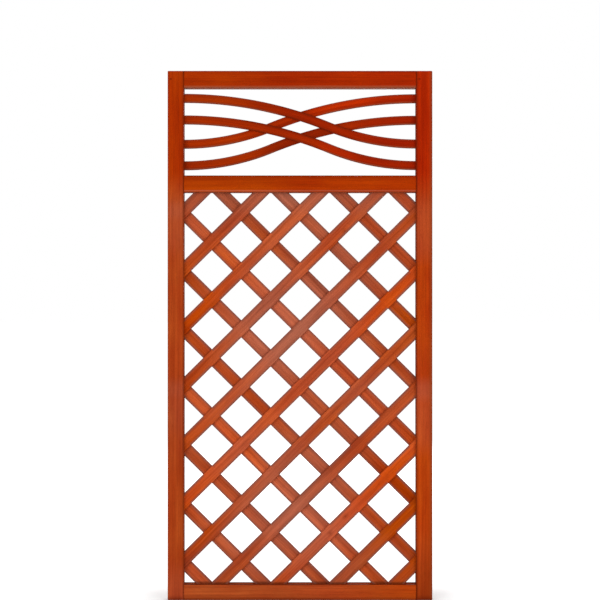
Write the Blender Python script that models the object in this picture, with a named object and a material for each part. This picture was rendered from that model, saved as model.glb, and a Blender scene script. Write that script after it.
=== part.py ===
"""Trellis top fence panel: a grooved timber frame, a two-layer lattice and four curved top slats.

Metres, +Z up. The origin is the middle of the panel's foot, and the photographed front faces -Y.
"""
import math

import bmesh
import bpy
from mathutils import Euler, Matrix, Vector

# Frame
PANEL_WIDTH = 0.900
PANEL_HEIGHT = 1.800
FRAME_DEPTH = 0.045
STILE_FACE = 0.055
RAIL_FACE = 0.0575
BOTTOM_RAIL_FACE = 0.054
TOP_WINDOW_HEIGHT = 0.298
FRAME_EASING = 0.003
FRAME_EASING_STEPS = 3

# Play between neighbouring pieces
FIT_GAP = 0.0003

# Slats
SLAT_THICKNESS = 0.009
SLAT_WIDTH = 0.042
SLAT_EASING = 0.0009
GROOVE_DEPTH = 0.010

# Lattice: the distances between like crossings, along X and along Z, and how far the middle crossing
# lies above the middle of the opening
MESH_PITCH_X = 0.2005
MESH_PITCH_Z = 0.1985
LATTICE_LIFT = 0.0033

# Curved slats: two level ends joined by two arcs, the first from the high end. The rooms are from
# the rails to the centre lines of the nearest ends.
CURVE_WIDTH = 0.0305
CURVE_HEAD_ROOM = 0.034
CURVE_FOOT_ROOM = 0.035
CURVE_SPACING = 0.0735
HIGH_ARC_SHARE = 0.626
CURVE_STEP = 0.020

# Timber left between the point of a staple or a brad and the face of the front slat
TIP_COVER = 0.003

# Staples, driven from the back
STAPLE_CROWN = 0.010
STAPLE_WIRE = 0.0012

# Brads through the back of the stiles into the ends of the curved slats
BRAD_RADIUS = 0.0008
BRAD_HEAD_RADIUS = 0.0014
BRAD_HEAD_HEIGHT = 0.0008
BRAD_POINT = 0.0016
BRAD_SINK = 0.0003
BRAD_SIDES = 8

# Screws through the stiles, which bite this deep into the rails
SCREW_RADIUS = 0.0025
SCREW_HEAD_RADIUS = 0.0047
SCREW_HEAD_HEIGHT = 0.0036
SCREW_HEAD_RIM = 0.0004
SCREW_POINT = 0.005
SCREW_BITE = 0.035
SCREW_SINK = 0.0005
SCREW_SPACING = 0.022
SCREW_SIDES = 12

# How far a cutter stands out of the timber it cuts
CUTTER_MARGIN = 0.001
SMOOTH_ANGLE = math.radians(35)
MERGE_DISTANCE = 1e-6

# Worked out from the sizes above
CLEAR_WIDTH = PANEL_WIDTH - 2 * STILE_FACE
TOP_RAIL_FOOT = PANEL_HEIGHT - RAIL_FACE
MIDDLE_RAIL_FOOT = TOP_RAIL_FOOT - TOP_WINDOW_HEIGHT - RAIL_FACE
LAYER_OFFSET = (SLAT_THICKNESS + FIT_GAP) / 2
STACK_HALF = SLAT_THICKNESS + FIT_GAP / 2
GROOVE_HALF = STACK_HALF + FIT_GAP
TONGUE_HALF = GROOVE_HALF - FIT_GAP
SEAT_REACH = GROOVE_DEPTH - FIT_GAP
LATTICE_CENTRE = (BOTTOM_RAIL_FACE + MIDDLE_RAIL_FOOT) / 2
LATTICE_CLEAR_HALF = (MIDDLE_RAIL_FOOT - BOTTOM_RAIL_FACE) / 2
LATTICE_HALF_WIDTH = CLEAR_WIDTH / 2 + SEAT_REACH
LATTICE_HALF_HEIGHT = LATTICE_CLEAR_HALF + SEAT_REACH
LEAN_ANGLE = math.atan2(MESH_PITCH_Z, MESH_PITCH_X)
CURVE_DROP = TOP_WINDOW_HEIGHT - CURVE_HEAD_ROOM - CURVE_SPACING - CURVE_FOOT_ROOM
CURVE_ANGLE = 2 * math.atan(CURVE_DROP / CLEAR_WIDTH)
ARC_RADII = CLEAR_WIDTH / math.sin(CURVE_ANGLE)
HIGH_RADIUS = ARC_RADII * HIGH_ARC_SHARE
LOW_RADIUS = ARC_RADII - HIGH_RADIUS
CURVE_LEVELS = (TOP_RAIL_FOOT - CURVE_HEAD_ROOM, TOP_RAIL_FOOT - CURVE_HEAD_ROOM - CURVE_SPACING)
STAPLE_LEG = 2 * STACK_HALF - TIP_COVER
BRAD_LENGTH = FRAME_DEPTH / 2 - BRAD_SINK + STACK_HALF - TIP_COVER
SCREW_LENGTH = STILE_FACE - SCREW_SINK + SCREW_BITE

# Each rail's name, the height of its lower face, its width and the way its groove opens (0 for none)
RAILS = (
    ("bottom_rail", 0.0, BOTTOM_RAIL_FACE, 1),
    ("middle_rail", MIDDLE_RAIL_FOOT, RAIL_FACE, -1),
    ("top_rail", TOP_RAIL_FOOT, RAIL_FACE, 0),
)

# Names of the two sides, by the sign of X
SIDE_NAMES = {-1: "left", 1: "right"}

# Each curved slat's name, its level, its layer (-1 front, 1 back) and its turn about Z
CURVES = (
    ("front_curve_upper", CURVE_LEVELS[0], -1, 0.0),
    ("front_curve_lower", CURVE_LEVELS[1], -1, 0.0),
    ("back_curve_upper", CURVE_LEVELS[0], 1, math.pi),
    ("back_curve_lower", CURVE_LEVELS[1], 1, math.pi),
)

# Finish of each kind of piece: sRGB colour, roughness, metallic
FINISHES = {
    "stile_timber": ((168, 54, 14), 0.38, 0.0),
    "rail_timber": ((171, 56, 14), 0.38, 0.0),
    "curve_timber": ((172, 40, 6), 0.38, 0.0),
    "rising_timber": ((182, 72, 38), 0.42, 0.0),
    "falling_timber": ((188, 78, 36), 0.42, 0.0),
    "zinc_steel": ((170, 172, 174), 0.35, 1.0),
}


def clear_scene():
    for item in list(bpy.data.objects):
        bpy.data.objects.remove(item, do_unlink=True)


def linear(channel):
    """Turn one 0 to 255 sRGB channel into the linear value that a shader takes."""
    share = channel / 255
    if share <= 0.04045:
        return share / 12.92
    return ((share + 0.055) / 1.055) ** 2.4


def make_material(name):
    colour, roughness, metallic = FINISHES[name]
    material = bpy.data.materials.new(name)
    material.use_nodes = True
    shader = material.node_tree.nodes["Principled BSDF"]
    shader.inputs["Base Color"].default_value = (*[linear(channel) for channel in colour], 1)
    shader.inputs["Roughness"].default_value = roughness
    shader.inputs["Metallic"].default_value = metallic
    return material


def finish_mesh(name, bm, material=None):
    """Turn a bmesh into a mesh whose faces point out and whose round parts look round."""
    bmesh.ops.recalc_face_normals(bm, faces=bm.faces)
    mesh = bpy.data.meshes.new(name)
    bm.to_mesh(mesh)
    bm.free()
    mesh.shade_smooth()
    mesh.set_sharp_from_angle(angle=SMOOTH_ANGLE)
    if material:
        mesh.materials.append(material)
    return mesh


def add_piece(name, mesh, parent, location=(0, 0, 0), rotation=(0, 0, 0)):
    piece = bpy.data.objects.new(name, mesh)
    bpy.context.scene.collection.objects.link(piece)
    piece.parent = parent
    piece.location = location
    piece.rotation_euler = rotation
    return piece


def add_cutter(name, mesh, parent):
    cutter = add_piece(name, mesh, parent)
    cutter.hide_render = True
    cutter.display_type = "WIRE"
    return cutter


def cut(piece, cutter):
    modifier = piece.modifiers.new(cutter.name, "BOOLEAN")
    modifier.operation = "DIFFERENCE"
    modifier.solver = "EXACT"
    modifier.object = cutter


def whole(face):
    """A face with its edges and corners, so that an extrusion carries it off instead of copying it."""
    return [face, *face.edges, *face.verts]


def extrude_by(bm, geometry, offset):
    """Extrude the geometry by the offset and return the face at its new end."""
    made = bmesh.ops.extrude_face_region(bm, geom=geometry)["geom"]
    moved = [item for item in made if isinstance(item, bmesh.types.BMVert)]
    bmesh.ops.translate(bm, vec=offset, verts=moved)
    return next(item for item in made if isinstance(item, bmesh.types.BMFace))


def bar_outline(face, grooved):
    """Section of a frame bar: the face lies across X, and a groove opens at +X."""
    half_face = face / 2
    half_depth = FRAME_DEPTH / 2
    outline = [(-half_face, half_depth), (-half_face, -half_depth), (half_face, -half_depth)]
    if grooved:
        floor = half_face - GROOVE_DEPTH
        outline += [(half_face, -GROOVE_HALF), (floor, -GROOVE_HALF)]
        outline += [(floor, GROOVE_HALF), (half_face, GROOVE_HALF)]
    outline.append((half_face, half_depth))
    return outline


def add_tongues(bm, length):
    """Draw the middle of each end out into the tongue that fills a stile's groove."""
    for side in (-TONGUE_HALF, TONGUE_HALF):
        everything = bm.verts[:] + bm.edges[:] + bm.faces[:]
        bmesh.ops.bisect_plane(bm, geom=everything, plane_co=(0, side, 0), plane_no=(0, 1, 0))
    for end in (-1, 1):
        for face in bm.faces[:]:
            centre = face.calc_center_median()
            at_end = abs(centre.z - end * length / 2) < MERGE_DISTANCE
            if at_end and abs(centre.y) < TONGUE_HALF / 2:
                extrude_by(bm, whole(face), (0, 0, end * GROOVE_DEPTH))


def ease_frame_edges(bm):
    """Round the edges that border the front and the back of a frame bar."""
    def on_face(vert):
        return abs(abs(vert.co.y) - FRAME_DEPTH / 2) < MERGE_DISTANCE

    edges = [edge for edge in bm.edges if all(on_face(vert) for vert in edge.verts)]
    bmesh.ops.bevel(bm, geom=edges, offset=FRAME_EASING, offset_type="OFFSET",
                    segments=FRAME_EASING_STEPS, profile=0.5, affect="EDGES", material=-1)


def bar_mesh(name, face, length, grooved, tongued, material):
    bm = bmesh.new()
    outline = bar_outline(face, grooved)
    bm.faces.new([bm.verts.new((x, y, -length / 2)) for x, y in outline])
    extrude_by(bm, bm.faces[:], (0, 0, length))
    if tongued:
        add_tongues(bm, length)
    ease_frame_edges(bm)
    return finish_mesh(name, bm, material)


def add_stiles(parent, material):
    mesh = bar_mesh("stile", STILE_FACE, PANEL_HEIGHT, True, False, material)
    offset = (PANEL_WIDTH - STILE_FACE) / 2
    left = add_piece("left_stile", mesh, parent, (-offset, 0, PANEL_HEIGHT / 2))
    right = add_piece("right_stile", mesh, parent, (offset, 0, PANEL_HEIGHT / 2), (0, 0, math.pi))
    return [left, right]


def add_rails(parent, material):
    """The bars lie along X; turned about Y, a groove that opened at +X opens up or down."""
    length = CLEAR_WIDTH - 2 * FIT_GAP
    rails = []
    for name, foot, face, opening in RAILS:
        mesh = bar_mesh(name, face, length, bool(opening), True, material)
        turn = -math.pi / 2 if opening > 0 else math.pi / 2
        rails.append(add_piece(name, mesh, parent, (0, 0, foot + face / 2), (0, turn, 0)))
    return rails


def slat_run(lean, crossing_height):
    """The X range in which a slat's centre line lies inside the lattice's outline."""
    slope = lean * math.tan(LEAN_ANGLE)
    foot = (LATTICE_CENTRE - LATTICE_HALF_HEIGHT - crossing_height) / slope
    head = (LATTICE_CENTRE + LATTICE_HALF_HEIGHT - crossing_height) / slope
    low = max(-LATTICE_HALF_WIDTH, min(foot, head))
    high = min(LATTICE_HALF_WIDTH, max(foot, head))
    return low, high


def slat_numbers():
    """Slats are counted from the one through the middle crossing, both ways up to the corners."""
    reach = LATTICE_CLEAR_HALF + math.tan(LEAN_ANGLE) * CLEAR_WIDTH / 2
    last = math.floor((reach - LATTICE_LIFT) / MESH_PITCH_Z)
    return range(-last, last + 1)


def trim_to_lattice(bm, location, turn):
    """Cut a slat off at the floors of the grooves, and close each cut."""
    to_local = Matrix.Rotation(-turn, 3, "Y")
    for direction in (Vector((1, 0, 0)), Vector((-1, 0, 0)), Vector((0, 0, 1)), Vector((0, 0, -1))):
        edge = Vector((direction.x * LATTICE_HALF_WIDTH, 0, direction.z * LATTICE_HALF_HEIGHT))
        point = edge + Vector((0, 0, LATTICE_CENTRE)) - location
        everything = bm.verts[:] + bm.edges[:] + bm.faces[:]
        bmesh.ops.bisect_plane(bm, geom=everything, plane_co=to_local @ point,
                               plane_no=to_local @ direction, clear_outer=True)
        bmesh.ops.holes_fill(bm, edges=[item for item in bm.edges if item.is_boundary])


def add_lattice_slat(name, number, lean, parent, material):
    """A flat slat that leans +1 (rises to the right, front layer) or -1 (falls, back layer)."""
    crossing_height = LATTICE_CENTRE + LATTICE_LIFT + number * MESH_PITCH_Z
    low, high = slat_run(lean, crossing_height)
    middle = (low + high) / 2
    height = crossing_height + lean * math.tan(LEAN_ANGLE) * middle
    location = Vector((middle, -lean * LAYER_OFFSET, height))
    turn = -lean * LEAN_ANGLE
    length = (high - low) / math.cos(LEAN_ANGLE) + 2 * SLAT_WIDTH

    bm = bmesh.new()
    bmesh.ops.create_cube(bm, size=1)
    bmesh.ops.scale(bm, vec=(length, SLAT_THICKNESS, SLAT_WIDTH), verts=bm.verts)
    long_edges = [edge for edge in bm.edges if edge.calc_length() > length - MERGE_DISTANCE]
    bmesh.ops.bevel(bm, geom=long_edges, offset=SLAT_EASING, offset_type="OFFSET",
                    segments=1, profile=0.5, affect="EDGES", material=-1)
    trim_to_lattice(bm, location, turn)
    add_piece(name, finish_mesh(name, bm, material), parent, location, (0, turn, 0))


def add_lattice(parent, materials):
    for place, number in enumerate(slat_numbers(), start=1):
        add_lattice_slat(f"rising_slat_{place:02d}", number, 1, parent, materials["rising_timber"])
        add_lattice_slat(f"falling_slat_{place:02d}", number, -1, parent, materials["falling_timber"])


def curve_mesh(material):
    """A slat that falls to the right from z = 0: a level end, two tangent arcs and a level end."""
    half_width = CURVE_WIDTH / 2
    half_thickness = SLAT_THICKNESS / 2
    start = -CLEAR_WIDTH / 2
    corners = [(-half_thickness, -half_width), (half_thickness, -half_width),
               (half_thickness, half_width), (-half_thickness, half_width)]
    bm = bmesh.new()
    end = bm.faces.new([bm.verts.new((start - SEAT_REACH, y, z)) for y, z in corners])
    bmesh.ops.bevel(bm, geom=end.verts[:], offset=SLAT_EASING, offset_type="OFFSET",
                    segments=1, profile=0.5, affect="VERTICES", material=-1)
    bm.faces.ensure_lookup_table()
    end = extrude_by(bm, bm.faces[:], (SEAT_REACH, 0, 0))
    high_centre = Vector((start, 0, -HIGH_RADIUS))
    low_centre = Vector((-start, 0, LOW_RADIUS - CURVE_DROP))
    for centre, radius, turn in ((high_centre, HIGH_RADIUS, 1), (low_centre, LOW_RADIUS, -1)):
        steps = math.ceil(radius * CURVE_ANGLE / CURVE_STEP)
        swept = bmesh.ops.spin(bm, geom=whole(end), cent=centre, axis=(0, 1, 0),
                               angle=turn * CURVE_ANGLE, steps=steps, use_duplicate=False)
        end = next(item for item in swept["geom_last"] if isinstance(item, bmesh.types.BMFace))
    extrude_by(bm, whole(end), (SEAT_REACH, 0, 0))
    return finish_mesh("curved_slat", bm, material)


def add_curves(parent, material):
    mesh = curve_mesh(material)
    curves = []
    for name, level, layer, turn in CURVES:
        curves.append(add_piece(name, mesh, parent, (0, layer * LAYER_OFFSET, level), (0, 0, turn)))
    return curves


def curve_fall(run):
    """How far a curved slat has fallen at a run from its high end."""
    if run <= HIGH_RADIUS * math.sin(CURVE_ANGLE):
        return HIGH_RADIUS - math.sqrt(HIGH_RADIUS ** 2 - run ** 2)
    rest = CLEAR_WIDTH - run
    return CURVE_DROP - LOW_RADIUS + math.sqrt(LOW_RADIUS ** 2 - rest ** 2)


def curve_crossings():
    """X and Z of the crossings of each front curve with each back curve, found by halving."""
    points = []
    for front_level in CURVE_LEVELS:
        for back_level in CURVE_LEVELS:
            low = -CLEAR_WIDTH / 2
            high = CLEAR_WIDTH / 2
            while high - low > MERGE_DISTANCE:
                x = (low + high) / 2
                front = front_level - curve_fall(CLEAR_WIDTH / 2 + x)
                back = back_level - curve_fall(CLEAR_WIDTH / 2 - x)
                if front > back:
                    low = x
                else:
                    high = x
            points.append((x, front))
    return points


def staple_bmesh(clearance, stand_out):
    """A U-shaped staple whose crown is flush in the back; its legs point to the front."""
    outer = STAPLE_CROWN / 2 + clearance
    inner = STAPLE_CROWN / 2 - STAPLE_WIRE - clearance
    crown_top = STACK_HALF + stand_out
    crown_foot = STACK_HALF - STAPLE_WIRE - clearance
    tip = STACK_HALF - STAPLE_LEG - clearance
    half_wire = STAPLE_WIRE / 2 + clearance
    outline = [(-outer, crown_top), (-outer, tip), (-inner, tip), (-inner, crown_foot),
               (inner, crown_foot), (inner, tip), (outer, tip), (outer, crown_top)]
    bm = bmesh.new()
    bm.faces.new([bm.verts.new((x, y, -half_wire)) for x, y in outline])
    extrude_by(bm, bm.faces[:], (0, 0, 2 * half_wire))
    return bm


def turned_bmesh(profile, sides):
    """Turn a profile of (radius, depth) about Z; it points down from a head at z = 0."""
    bm = bmesh.new()
    rim = [bm.verts.new((radius, 0, -depth)) for radius, depth in profile]
    line = [bm.edges.new(pair) for pair in zip(rim, rim[1:])]
    bmesh.ops.spin(bm, geom=rim + line, cent=(0, 0, 0), axis=(0, 0, 1), angle=2 * math.pi,
                   steps=sides, use_merge=True, use_duplicate=False)
    bmesh.ops.remove_doubles(bm, verts=bm.verts, dist=MERGE_DISTANCE)
    return bm


def brad_bmesh(clearance, stand_out):
    under_head = BRAD_HEAD_HEIGHT + clearance
    profile = [(0, -stand_out), (BRAD_HEAD_RADIUS + clearance, -stand_out),
               (BRAD_HEAD_RADIUS + clearance, under_head), (BRAD_RADIUS + clearance, under_head),
               (BRAD_RADIUS + clearance, BRAD_LENGTH - BRAD_POINT), (0, BRAD_LENGTH + clearance)]
    return turned_bmesh(profile, BRAD_SIDES)


def screw_bmesh(clearance, stand_out):
    profile = [(0, -stand_out), (SCREW_HEAD_RADIUS + clearance, -stand_out),
               (SCREW_HEAD_RADIUS + clearance, SCREW_HEAD_RIM + clearance),
               (SCREW_RADIUS + clearance, SCREW_HEAD_HEIGHT + clearance),
               (SCREW_RADIUS + clearance, SCREW_LENGTH - SCREW_POINT), (0, SCREW_LENGTH + clearance)]
    return turned_bmesh(profile, SCREW_SIDES)


def staple_seats():
    """The name, location and turn of each staple where two curved slats cross."""
    seats = []
    for number, (x, z) in enumerate(curve_crossings(), start=1):
        seats.append((f"curve_staple_{number}", (x, 0, z), (0, 0, 0)))
    return seats


def brad_seats():
    """A brad for each end of each curved slat, from the back of the stile to its front slats."""
    seats = []
    reach = (CLEAR_WIDTH + GROOVE_DEPTH) / 2
    for curve, level, _, turn in CURVES:
        falls_to = -1 if turn else 1
        for side, height in ((-falls_to, level), (falls_to, level - CURVE_DROP)):
            name = f"{curve}_brad_{SIDE_NAMES[side]}"
            location = (side * reach, FRAME_DEPTH / 2 - BRAD_SINK, height)
            seats.append((name, location, (-math.pi / 2, 0, 0)))
    return seats


def screw_seats():
    """Two screws for each end of each rail, spread about the middle of its ungrooved part."""
    seats = []
    for rail, foot, face, opening in RAILS:
        core_middle = foot + (face - opening * GROOVE_DEPTH) / 2
        for side in (-1, 1):
            for number, step in enumerate((-SCREW_SPACING / 2, SCREW_SPACING / 2), start=1):
                name = f"{rail}_screw_{SIDE_NAMES[side]}_{number}"
                location = (side * (PANEL_WIDTH / 2 - SCREW_SINK), 0, core_middle + step)
                seats.append((name, location, (0, side * math.pi / 2, 0)))
    return seats


def add_fasteners(kind, shape, seats, parent, steel):
    """Add a fastener at each seat, and return one cutter that holds all their bores."""
    mesh = finish_mesh(kind, shape(0, 0), steel)
    bore = finish_mesh(kind + "_bore", shape(FIT_GAP, CUTTER_MARGIN))
    bores = bmesh.new()
    for name, location, rotation in seats:
        add_piece(name, mesh, parent, location, rotation)
        first = len(bores.verts)
        bores.from_mesh(bore)
        bores.verts.ensure_lookup_table()
        place = Matrix.LocRotScale(Vector(location), Euler(rotation), None)
        bmesh.ops.transform(bores, matrix=place, verts=bores.verts[first:])
    return add_cutter(kind + "_bores", finish_mesh(kind + "_bores", bores), parent)


def main():
    clear_scene()
    materials = {name: make_material(name) for name in FINISHES}
    panel = bpy.data.objects.new("panel_foot", None)
    bpy.context.scene.collection.objects.link(panel)

    stiles = add_stiles(panel, materials["stile_timber"])
    rails = add_rails(panel, materials["rail_timber"])
    add_lattice(panel, materials)
    curves = add_curves(panel, materials["curve_timber"])

    steel = materials["zinc_steel"]
    screw_bores = add_fasteners("screw", screw_bmesh, screw_seats(), panel, steel)
    brad_bores = add_fasteners("brad", brad_bmesh, brad_seats(), panel, steel)
    staple_bores = add_fasteners("staple", staple_bmesh, staple_seats(), panel, steel)
    for piece in stiles + rails:
        cut(piece, screw_bores)
    for piece in stiles + curves:
        cut(piece, brad_bores)
    for piece in curves:
        cut(piece, staple_bores)


main()
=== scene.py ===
"""Trellis top fence panel: the looks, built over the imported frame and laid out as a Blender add-on."""
import math
from dataclasses import dataclass
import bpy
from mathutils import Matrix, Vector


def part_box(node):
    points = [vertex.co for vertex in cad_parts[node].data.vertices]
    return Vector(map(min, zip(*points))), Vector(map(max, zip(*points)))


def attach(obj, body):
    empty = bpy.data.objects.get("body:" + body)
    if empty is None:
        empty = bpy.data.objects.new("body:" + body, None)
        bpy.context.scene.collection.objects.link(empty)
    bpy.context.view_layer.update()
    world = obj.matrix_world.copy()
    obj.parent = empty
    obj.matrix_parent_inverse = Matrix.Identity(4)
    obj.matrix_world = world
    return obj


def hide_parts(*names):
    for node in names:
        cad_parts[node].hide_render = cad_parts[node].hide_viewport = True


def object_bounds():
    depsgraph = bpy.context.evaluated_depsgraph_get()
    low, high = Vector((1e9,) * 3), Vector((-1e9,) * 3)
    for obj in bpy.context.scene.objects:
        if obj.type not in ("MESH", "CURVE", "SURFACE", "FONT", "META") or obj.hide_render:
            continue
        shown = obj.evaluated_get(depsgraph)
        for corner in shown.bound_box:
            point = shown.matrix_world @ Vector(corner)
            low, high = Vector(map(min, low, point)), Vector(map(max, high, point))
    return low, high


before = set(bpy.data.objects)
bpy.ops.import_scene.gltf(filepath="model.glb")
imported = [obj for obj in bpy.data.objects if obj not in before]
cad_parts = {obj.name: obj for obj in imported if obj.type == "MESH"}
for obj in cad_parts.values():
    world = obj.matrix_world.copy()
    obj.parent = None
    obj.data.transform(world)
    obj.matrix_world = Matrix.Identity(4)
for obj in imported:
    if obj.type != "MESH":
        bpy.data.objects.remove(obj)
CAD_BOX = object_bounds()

from types import SimpleNamespace

import bmesh
import bpy
from bpy.props import FloatProperty, FloatVectorProperty, PointerProperty
from mathutils import Matrix, Vector

bl_info = {
    "name": "Trellis top fence panel",
    "version": (1, 0, 0),
    "blender": (4, 5, 0),
    "location": "View3D > Sidebar > Fence panel",
    "description": "Stained timber fence panel with a lattice and a curved top, in a plain studio",
    "category": "Add Mesh",
}

BODY = "root"
GRAIN_RUN = "grain_run"
GOLDEN = (math.sqrt(5) - 1) / 2
WHITE = (1, 1, 1, 1)

# Edges of the frame and of the openings, read from the CAD nodes
LEFT_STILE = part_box("left_stile")
RIGHT_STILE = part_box("right_stile")
BOTTOM_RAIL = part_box("bottom_rail")
MIDDLE_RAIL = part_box("middle_rail")
TOP_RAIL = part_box("top_rail")
CLEAR_LEFT = LEFT_STILE[1].x
CLEAR_RIGHT = RIGHT_STILE[0].x
CLEAR_WIDTH = CLEAR_RIGHT - CLEAR_LEFT
LATTICE_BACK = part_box("falling_slat_06")[1].y
LATTICE_FOOT = BOTTOM_RAIL[1].z
LATTICE_HEAD = MIDDLE_RAIL[0].z
LATTICE_CENTRE = (LATTICE_FOOT + LATTICE_HEAD) / 2
SLATS_EACH_WAY = 11
SLATS_PAST_MIDDLE = SLATS_EACH_WAY // 2


def length(name, default, description):
    return FloatProperty(name=name, description=description, default=default, min=0,
                         precision=4, unit="LENGTH")


def share(name, default, description):
    return FloatProperty(name=name, description=description, default=default, min=0, soft_max=2)


def tint(name, default, description):
    """A colour property; the default is written as 0 to 255 sRGB channels."""
    return FloatVectorProperty(name=name, description=description, size=3, min=0, max=1,
                               subtype="COLOR_GAMMA", default=[channel / 255 for channel in default])


class FenceSizes(bpy.types.PropertyGroup):
    slat_width: length("Slat width", 0.042, "Width of a lattice slat")
    slat_rounding: length("Slat rounding", 0.0003, "Rounding of the chamfered edges of a slat")
    pitch_x: length("Mesh pitch X", 0.2005, "Level distance between like crossings")
    pitch_z: length("Mesh pitch Z", 0.1985, "Upright distance between like crossings")
    lift: length("Lattice lift", 0.0033, "Height of the middle crossing above the opening's middle")
    curve_width: length("Curve width", 0.0305, "Width of a curved slat")
    curve_easing: length("Curve easing", 0.0011, "Radius of the long edges of a curved slat")
    curve_drop: length("Curve drop", 0.1555, "Fall of a curved slat from its high end to its low end")
    high_arc_share: share("High arc share", 0.626, "Share of the high arc in the sum of both radii")
    curve_step: length("Curve step", 0.008, "Length of one step along a curved slat")
    screw_edge: length("Screw edge", 0.0004, "Height of the upright edge of a screw's head")
    screw_head: length("Screw head", 0.0036, "Depth of a screw's countersunk head")
    screw_point: length("Screw point", 0.005, "Length of a screw's tapered point")
    screw_recess: length("Screw recess", 0.0022, "Depth of the cross recess in a screw's head")
    brad_head: length("Brad head", 0.0008, "Depth of a brad's head")
    brad_point: length("Brad point", 0.0016, "Length of a brad's tapered point")
    staple_crown: length("Staple crown", 0.010, "Width of a staple over its legs")
    staple_wire: length("Staple wire", 0.0012, "Thickness of a staple's wire")
    staple_leg: length("Staple leg", 0.0135, "Length of a staple's legs")
    staple_proud: length("Staple proud", 0.0003, "How far a crown stands out of the slat")


class FenceColours(bpy.types.PropertyGroup):
    # The stiles' lower colours are hazier than their heads': partly stain, partly painted sheen
    left_stile: tint("Left stile", (168, 65, 22), "Stain of the left stile beside the lattice")
    left_head: tint("Left stile's head", (167, 51, 1), "Stain of the left stile beside the top window")
    right_stile: tint("Right stile", (175, 60, 9), "Stain of the right stile beside the lattice")
    right_head: tint("Right stile's head", (171, 39, 1), "Stain of the right stile beside the top window")
    top_rail: tint("Top rail", (165, 50, 1), "Stain of the top rail's left end")
    top_rail_right: tint("Top rail, right", (163, 37, 1), "Stain of the top rail's right end")
    middle_rail: tint("Middle rail", (158, 50, 1), "Stain of the middle rail's left end")
    middle_rail_right: tint("Middle rail, right", (166, 50, 1), "Stain of the middle rail's right end")
    bottom_rail: tint("Bottom rail", (172, 73, 31), "Stain of the bottom rail's left end")
    bottom_rail_right: tint("Bottom rail, right", (184, 69, 14), "Stain of the bottom rail's right end")
    rising: tint("Rising slats", (177, 64, 4), "Stain of the front slats of the lattice")
    falling: tint("Falling slats", (175, 64, 4), "Stain of the back slats of the lattice")
    curve: tint("Curved slats", (160, 45, 1), "Stain of the curved slats on the left")
    curve_right: tint("Curved slats, right", (160, 33, 1), "Stain of the curved slats on the right")
    # Painted sheen: a pale, greyer colour that stands for the white surroundings mirrored in the varnish
    painted_sheen: tint("Painted sheen", (176, 100, 76), "Colour of the painted sheen")
    # A darker, greyer band beside the lattice slats' edges: stain with painted shade
    edge_band: tint("Lattice edge band", (131, 80, 66), "Colour of the band beside a lattice slat's edges, stain with painted shade")
    curve_edge: tint("Curve edges", (160, 80, 52), "Colour of the band beside a curved slat's edges")
    stile_edge: tint("Stile edge", (128, 62, 30), "Colour of the stain along the right stile's outer edge")
    # Painted sheen on the rails' lower edges and undersides
    rail_edge_sheen: tint("Rail edges", (154, 76, 48), "Colour of the painted sheen on the rails' lower edges")
    rim: tint("Slat rims", (138, 40, 0), "Colour of the full stain on the chamfers of the slats")
    # Stain gathered on the ends and in knot rings; along the edges it is stain and painted shade, and on
    # side faces, at crossings and by the ground it is painted shade
    pooled_and_shade: tint("Pooled stain and shade", (92, 28, 8), "Colour of the stain that gathers on edges and ends, and of painted shade")
    pore: tint("Pores", (98, 26, 5), "Colour of the pores and of the knots")
    zinc: tint("Zinc", (186, 188, 190), "Colour of the zinc on the steel")
    floor: tint("Floor", (226, 226, 226), "Colour of the studio floor")


class FenceStage(bpy.types.PropertyGroup):
    camera_height: length("Camera height", 1.0210, "Height of the camera above the floor")
    camera_distance: length("Camera distance", 4.9, "Distance from the camera to the panel's front")
    view_width: length("View width", 2.0391, "Width of the picture at the panel's front")
    ambient: share("Ambient level", 0.60, "Level of the light from all round")
    key: share("Key level", 0.28, "Level of the left front lamp at the panel")
    fill: share("Fill level", 0.28, "Level of the right front lamp at the panel")
    back: share("Back level", 0.36, "Level of the lamp behind the panel, at the panel")
    floor_fill: share("Floor fill", 0.60, "Light that brings the floor up to white in the picture")
    foot_fill: share("Foot fill", 0.28, "The same beside the panel's foot, where its shadow shows")


# Shader nodes and sums on them


class Signal:
    """A value, colour or vector from a node's output. Sums on it add Math nodes."""

    def __init__(self, tree, socket):
        self.tree = tree
        self.socket = socket

    def output(self, name):
        """Another output of the same node."""
        return Signal(self.tree, self.socket.node.outputs[name])

    def maths(self, operation, *values):
        return node(self.tree, "ShaderNodeMath", {"operation": operation}, dict(enumerate(values)))

    def __add__(self, other):
        return self.maths("ADD", self, other)

    def __radd__(self, other):
        return self.maths("ADD", other, self)

    def __sub__(self, other):
        return self.maths("SUBTRACT", self, other)

    def __rsub__(self, other):
        return self.maths("SUBTRACT", other, self)

    def __mul__(self, other):
        return self.maths("MULTIPLY", self, other)

    def __rmul__(self, other):
        return self.maths("MULTIPLY", other, self)

    def __abs__(self):
        return self.maths("ABSOLUTE", self)

    def at_least(self, other):
        return self.maths("MAXIMUM", self, other)

    def step(self, start, whole):
        """0 up to start and 1 from whole on, with a smooth change between; start may be the higher."""
        inputs = {"Value": self, "From Min": start, "From Max": whole}
        return node(self.tree, "ShaderNodeMapRange", {"interpolation_type": "SMOOTHSTEP"}, inputs)


def node(tree, kind, settings=None, inputs=None, output=0):
    """Add a node with its settings and its sockets' values or links, and return one output if any."""
    added = tree.nodes.new(kind)
    for name, value in (settings or {}).items():
        setattr(added, name, value)
    for key, value in (inputs or {}).items():
        if isinstance(value, Signal):
            tree.links.new(value.socket, added.inputs[key])
        else:
            added.inputs[key].default_value = value
    return Signal(tree, added.outputs[output]) if added.outputs else None


def linear(colour):
    """Turn sRGB channels from 0 to 1 into the linear colour that a shader takes."""
    channels = []
    for channel in colour:
        channels.append(channel / 12.92 if channel <= 0.04045 else ((channel + 0.055) / 1.055) ** 2.4)
    return (*channels, 1.0)


def place(tree):
    """Where a point lies in the shared frame, because each piece's object sits at the origin."""
    return node(tree, "ShaderNodeTexCoord", output="Object")


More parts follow.
